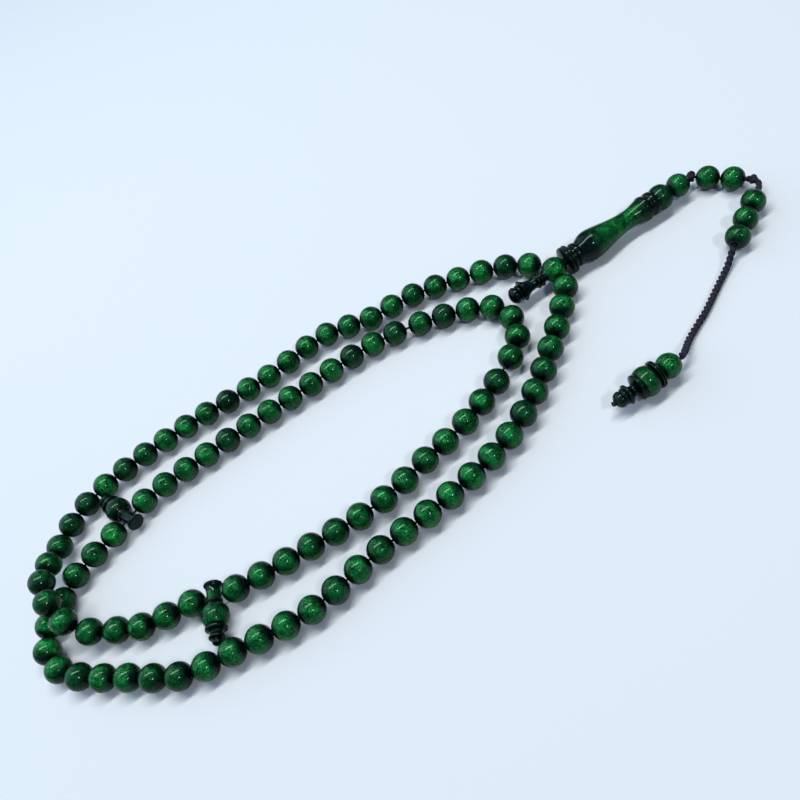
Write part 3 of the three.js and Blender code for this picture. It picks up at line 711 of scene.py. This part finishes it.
# ---- Core thread and first tail bead: the two strings run on as one thick thread through the imame
# and the bead that sits against its end.
CORE_DIAMETER = 1.6 * MM
CORE_LAY = 3.6 * MM
CORE_STEP = 0.5 * MM
CORE_STARTS = 3.2 * MM  # past the middle of the junction bead
TAIL_BEAD_1_BORE = 1.15 * MM
IMAME_LENGTH = 41.6 * MM
TAIL_BEAD_RADIUS = TAIL_BEAD_DIAMETER / 2
tail_bead_1 = IMAME_AT + OUTWARDS * (IMAME_LENGTH + TAIL_BEAD_RADIUS)


def straight(a, b, step):
    count = max(1, round((b - a).length / step))
    return [a.lerp(b, k / count) for k in range(count + 1)]


core_start = junction_at + OUTWARDS * CORE_STARTS
core_line = straight(core_start, tail_bead_1 + OUTWARDS * TAIL_BEAD_RADIUS, CORE_STEP)
core = twisted("core_thread_twisted", core_line, CORE_DIAMETER, CORE_LAY)
finished("core_thread_twisted", core, "core", "thread", "core_thread")
outline = bead_outline(TAIL_BEAD_RADIUS, TAIL_BEAD_1_BORE)
form = settle(turned(outline, TAIL_BEAD_1_BORE), tail_bead_1, OUTWARDS, 501)
mesh = mesh_of("tail_bead_1_polished", [form], bead_resin)
finished("tail_bead_1_polished", mesh, "tail_bead_1", "bead", "tail_bead_1")

# ---- Tail threads and beads: past the first bead the thread is knotted, carries two beads, swings
# round in a knotted bend, and carries three more.
UPPER_FIRST = Vector((122.4, 5.9, 3.8)) * MM
UPPER_HEADING = math.radians(-54.5)
KNOTTED_BEND = LAID + Vector((130.3, -7.4, 3.8)) * MM
KNOT_DIAMETER = 3 * MM
KNOT_POINTS = 72
THREAD_STEP = 0.4 * MM
LEAD_LAY = 3 * MM
BEND_DIAMETER = 2 * MM
BEND_LAY = 3.5 * MM
BEND_STEP = 0.3 * MM
upper_way = Vector((math.cos(UPPER_HEADING), math.sin(UPPER_HEADING), 0))
upper_beads = [LAID + UPPER_FIRST + upper_way * TAIL_PITCH * i for i in range(2)]


def overhand_knot(name, at, way, size, thread):
    """A small tight knot: one thread wound through itself."""
    across = way.cross(Vector((0, 0, 1))).normalized()
    up = across.cross(way)
    line = []
    for k in range(KNOT_POINTS + 1):
        t = 2 * math.pi * k / KNOT_POINTS
        reach = 1 + 0.42 * math.cos(3 * t)
        wind = Vector((reach * math.cos(2 * t), reach * math.sin(2 * t), 0.62 * math.sin(3 * t)))
        wind = wind * size * 0.5
        line.append(at + across * wind.x + up * wind.y + way * wind.z)
    return strand_mesh(name, line, thread, 8)


knot_1 = upper_beads[0] - upper_way * (TAIL_BEAD_RADIUS + KNOT_DIAMETER / 2)
upper_end = upper_beads[-1] + upper_way * TAIL_BEAD_RADIUS
lead_start = tail_bead_1 + OUTWARDS * (TAIL_BEAD_RADIUS + SWING_ROOM)
lead_line = straight(lead_start, knot_1, THREAD_STEP)
tail_thread_1 = joined(
    "tail_thread_1_knotted",
    [
        twisted("lead", lead_line, CORE_DIAMETER, LEAD_LAY, 2),
        twisted("carry", straight(knot_1, upper_end, THREAD_STEP), STRING_DIAMETER, STRING_LAY),
        overhand_knot("knot", knot_1, upper_way, 0.6 * KNOT_DIAMETER, 0.72 * MM),
    ],
    waxed_thread,
)
finished("tail_thread_1_knotted", tail_thread_1, "tail_upper", "thread", "tail_thread_1")

bend_start = upper_end - upper_way * 0.3 * MM
bend_end = lower_beads[0] - lower_way * (TAIL_BEAD_RADIUS + 0.3 * MM)
bend_line = smooth_line(
    [
        bend_start, upper_end + upper_way * 2.1 * MM, KNOTTED_BEND,
        bend_end - lower_way * 1.4 * MM, bend_end,
    ],
    BEND_STEP,
)
lower_end = lower_beads[-1] + lower_way * TAIL_BEAD_RADIUS
knot_2 = upper_end + upper_way * 2.2 * MM
lower_line = straight(bend_end - lower_way * 0.5 * MM, lower_end, THREAD_STEP)
tail_thread_2 = joined(
    "tail_thread_2_knotted",
    [
        twisted("bend", bend_line, BEND_DIAMETER, BEND_LAY, 2),
        twisted("carry", lower_line, STRING_DIAMETER, STRING_LAY),
        overhand_knot("knot", knot_2, upper_way, 0.44 * KNOT_DIAMETER, 0.68 * MM),
    ],
    waxed_thread,
)
finished("tail_thread_2_knotted", tail_thread_2, "tail_lower", "thread", "tail_thread_2")

placed_beads = [(at, upper_way) for at in upper_beads] + [(at, lower_way) for at in lower_beads]
for number, (at, way) in enumerate(placed_beads, 2):
    name = f"tail_bead_{number}"
    form = bead(TAIL_BEAD_RADIUS, at, way, 500 + number)
    finished(f"{name}_polished", mesh_of(name, [form], bead_resin), name, "bead", name)

# ---- End ornament: a bead, a grooved disc and a turned finial in the same resin, held on one
# thread by a small stop knot.
DISC_LENGTH = 1.4
BACK = Vector((-1, 0, 0))
ORNAMENT_BORE_RADIUS = 1.05 * MM
disc_at = ORNAMENT_AT + BACK * 3.6 * MM
finial_at = disc_at + BACK * (DISC_LENGTH + 0.3) * MM


def disc_outline():
    return curved(
        [(0, 2.1), (0, 7.4)], [(0, 7.4), (0.15, 8.2), (0.4, 8.5), (0.55, 8.35)],
        [(0.55, 8.35), (0.7, 7.9), (0.85, 8.35)],
        [(0.85, 8.35), (1, 8.5), (1.25, 8.2), (1.4, 7.4)], [(1.4, 7.4), (1.4, 2.1)],
    )


def finial_outline():
    return curved(
        [(0, 2.1), (0, 7.3)],
        [(0, 7.3), (0.3, 7.9), (0.9, 8.5), (1.8, 9), (2.4, 9.1), (3.1, 9), (3.8, 8.6), (4.5, 8)],
        [(4.5, 8), (4.7, 7.4), (4.9, 7.4)], [(4.9, 7.4), (5.2, 7.9), (5.6, 7.95), (5.9, 7.4)],
        [(5.9, 7.4), (6.2, 5.8), (6.6, 4.2), (7, 3.5), (7.5, 3.5), (8.1, 4.3), (8.5, 5.4)],
        [(8.5, 5.4), (8.7, 6), (9.1, 6.1), (9.4, 5.6)], [(9.4, 5.6), (9.6, 4.4)],
        [(9.6, 4.4), (9.9, 4.9), (10.2, 4.9), (10.45, 4.3)], [(10.45, 4.3), (10.6, 4.2)],
        [(10.6, 4.2), (11.1, 4.85), (11.7, 4.8), (12.3, 4.3), (12.8, 3.3), (13.1, 2.1)],
    )


def disc_dusk(along):
    return 0.93


def finial_dusk(along):
    return 0.4 if 1 < along < 4.5 else 0.95


ornament_bead = bead(ORNAMENT_BEAD_DIAMETER / 2, ORNAMENT_AT, BACK, 601)
mesh = mesh_of("ornament_bead", [ornament_bead], bead_resin)
finished("ornament_bead_polished", mesh, "ornament", "bead", "ornament_bead")
disc_form = turned(disc_outline(), ORNAMENT_BORE_RADIUS)
mesh = mesh_of("ornament_disc", [settle(disc_form, disc_at, BACK, 602, disc_dusk)], bead_resin)
finished("ornament_disc_turned", mesh, "ornament_end", "turned", "ornament_disc")
finial_form = turned(finial_outline(), ORNAMENT_BORE_RADIUS)
finial_form = settle(finial_form, finial_at, BACK, 603, finial_dusk)
mesh = mesh_of("ornament_finial", [finial_form], bead_resin)
finished("ornament_finial_turned", mesh, "ornament_end", "turned", "ornament_finial")
thread_end = finial_at + BACK * 13.5 * MM
thread_line = straight(ORNAMENT_AT - BACK * 3.3 * MM, thread_end, THREAD_STEP)
ornament_thread = joined(
    "ornament_thread_knotted",
    [
        twisted("run", thread_line, STRING_DIAMETER, STRING_LAY),
        overhand_knot("stop", thread_end + BACK * 0.2 * MM, BACK, 0.75 * MM, 0.3 * MM),
    ],
    waxed_thread,
)
finished("ornament_thread_knotted", ornament_thread, "ornament", "thread", "ornament_thread")

# ---- Table and light: a matt bluish white sheet. A broad window from behind and to the left, a
# long ceiling tube overhead and a small lamp beside the viewer light it, in a dim bluish room.
TABLE_RADIUS = 1.3
sheet_mesh = bpy.data.meshes.new("table")
sheet = bmesh.new()
bmesh.ops.create_circle(sheet, cap_ends=True, segments=96, radius=TABLE_RADIUS)
sheet.to_mesh(sheet_mesh)
sheet.free()
paper = bpy.data.materials.new("bluish white paper")
paper.use_nodes = True
paper_shader = paper.node_tree.nodes["Principled BSDF"]
paper_shader.inputs["Base Color"].default_value = (0.475, 0.505, 0.54, 1)
paper_shader.inputs["Roughness"].default_value = 0.85
paper_shader.inputs["Specular IOR Level"].default_value = 0.2
sheet_mesh.materials.append(paper)
table = bpy.data.objects.new("table", sheet_mesh)
scene.collection.objects.link(table)


def area_light(name, towards, distance, length, width, watts, colour, lies_along):
    """A soft light that stands off from the strand in one direction, faces it, and has its long
    side along another."""
    light = bpy.data.lights.new(name, "AREA")
    light.shape = "RECTANGLE"
    light.size = length
    light.size_y = width
    light.energy = watts
    light.color = colour
    stand = bpy.data.objects.new(name, light)
    stand.visible_camera = False
    scene.collection.objects.link(stand)
    back = Vector(towards).normalized()
    side = (Vector(lies_along) - back * back.dot(Vector(lies_along))).normalized()
    turn = Matrix((side, back.cross(side), back)).transposed()
    stand.matrix_world = Matrix.Translation(back * distance) @ turn.to_4x4()


area_light("window", (-0.6, 0.65, 0.5), 1.3, 2, 1.4, 15, (0.62, 0.82, 1), (1, 1, 0))
area_light("ceiling tube", (0.0, 0.24, 0.97), 1.1, 1.25, 0.17, 16, (1, 1, 0.97), (1, 0, 0))
area_light("lamp", (0.2, -0.64, 0.73), 1.1, 0.2, 0.07, 3.8, (1, 1, 1), (1, 0.4, 0.1))

world = bpy.data.worlds.new("room")
scene.world = world
world.use_nodes = True
nodes, links = world.node_tree.nodes, world.node_tree.links
dim_room = nodes["Background"]
dim_room.inputs["Color"].default_value = (0.4, 0.65, 1, 1)
dim_room.inputs["Strength"].default_value = 0.25
# Behind the table's edge hangs a pale sheet; the strand itself only sees the dim room.
pale_sheet = nodes.new("ShaderNodeBackground")
pale_sheet.inputs["Color"].default_value = (0.6, 0.68, 0.76, 1)
seen = nodes.new("ShaderNodeLightPath")
either = nodes.new("ShaderNodeMixShader")
links.new(seen.outputs["Is Camera Ray"], either.inputs["Fac"])
links.new(dim_room.outputs["Background"], either.inputs[1])
links.new(pale_sheet.outputs["Background"], either.inputs[2])
links.new(either.outputs["Shader"], nodes["World Output"].inputs["Surface"])
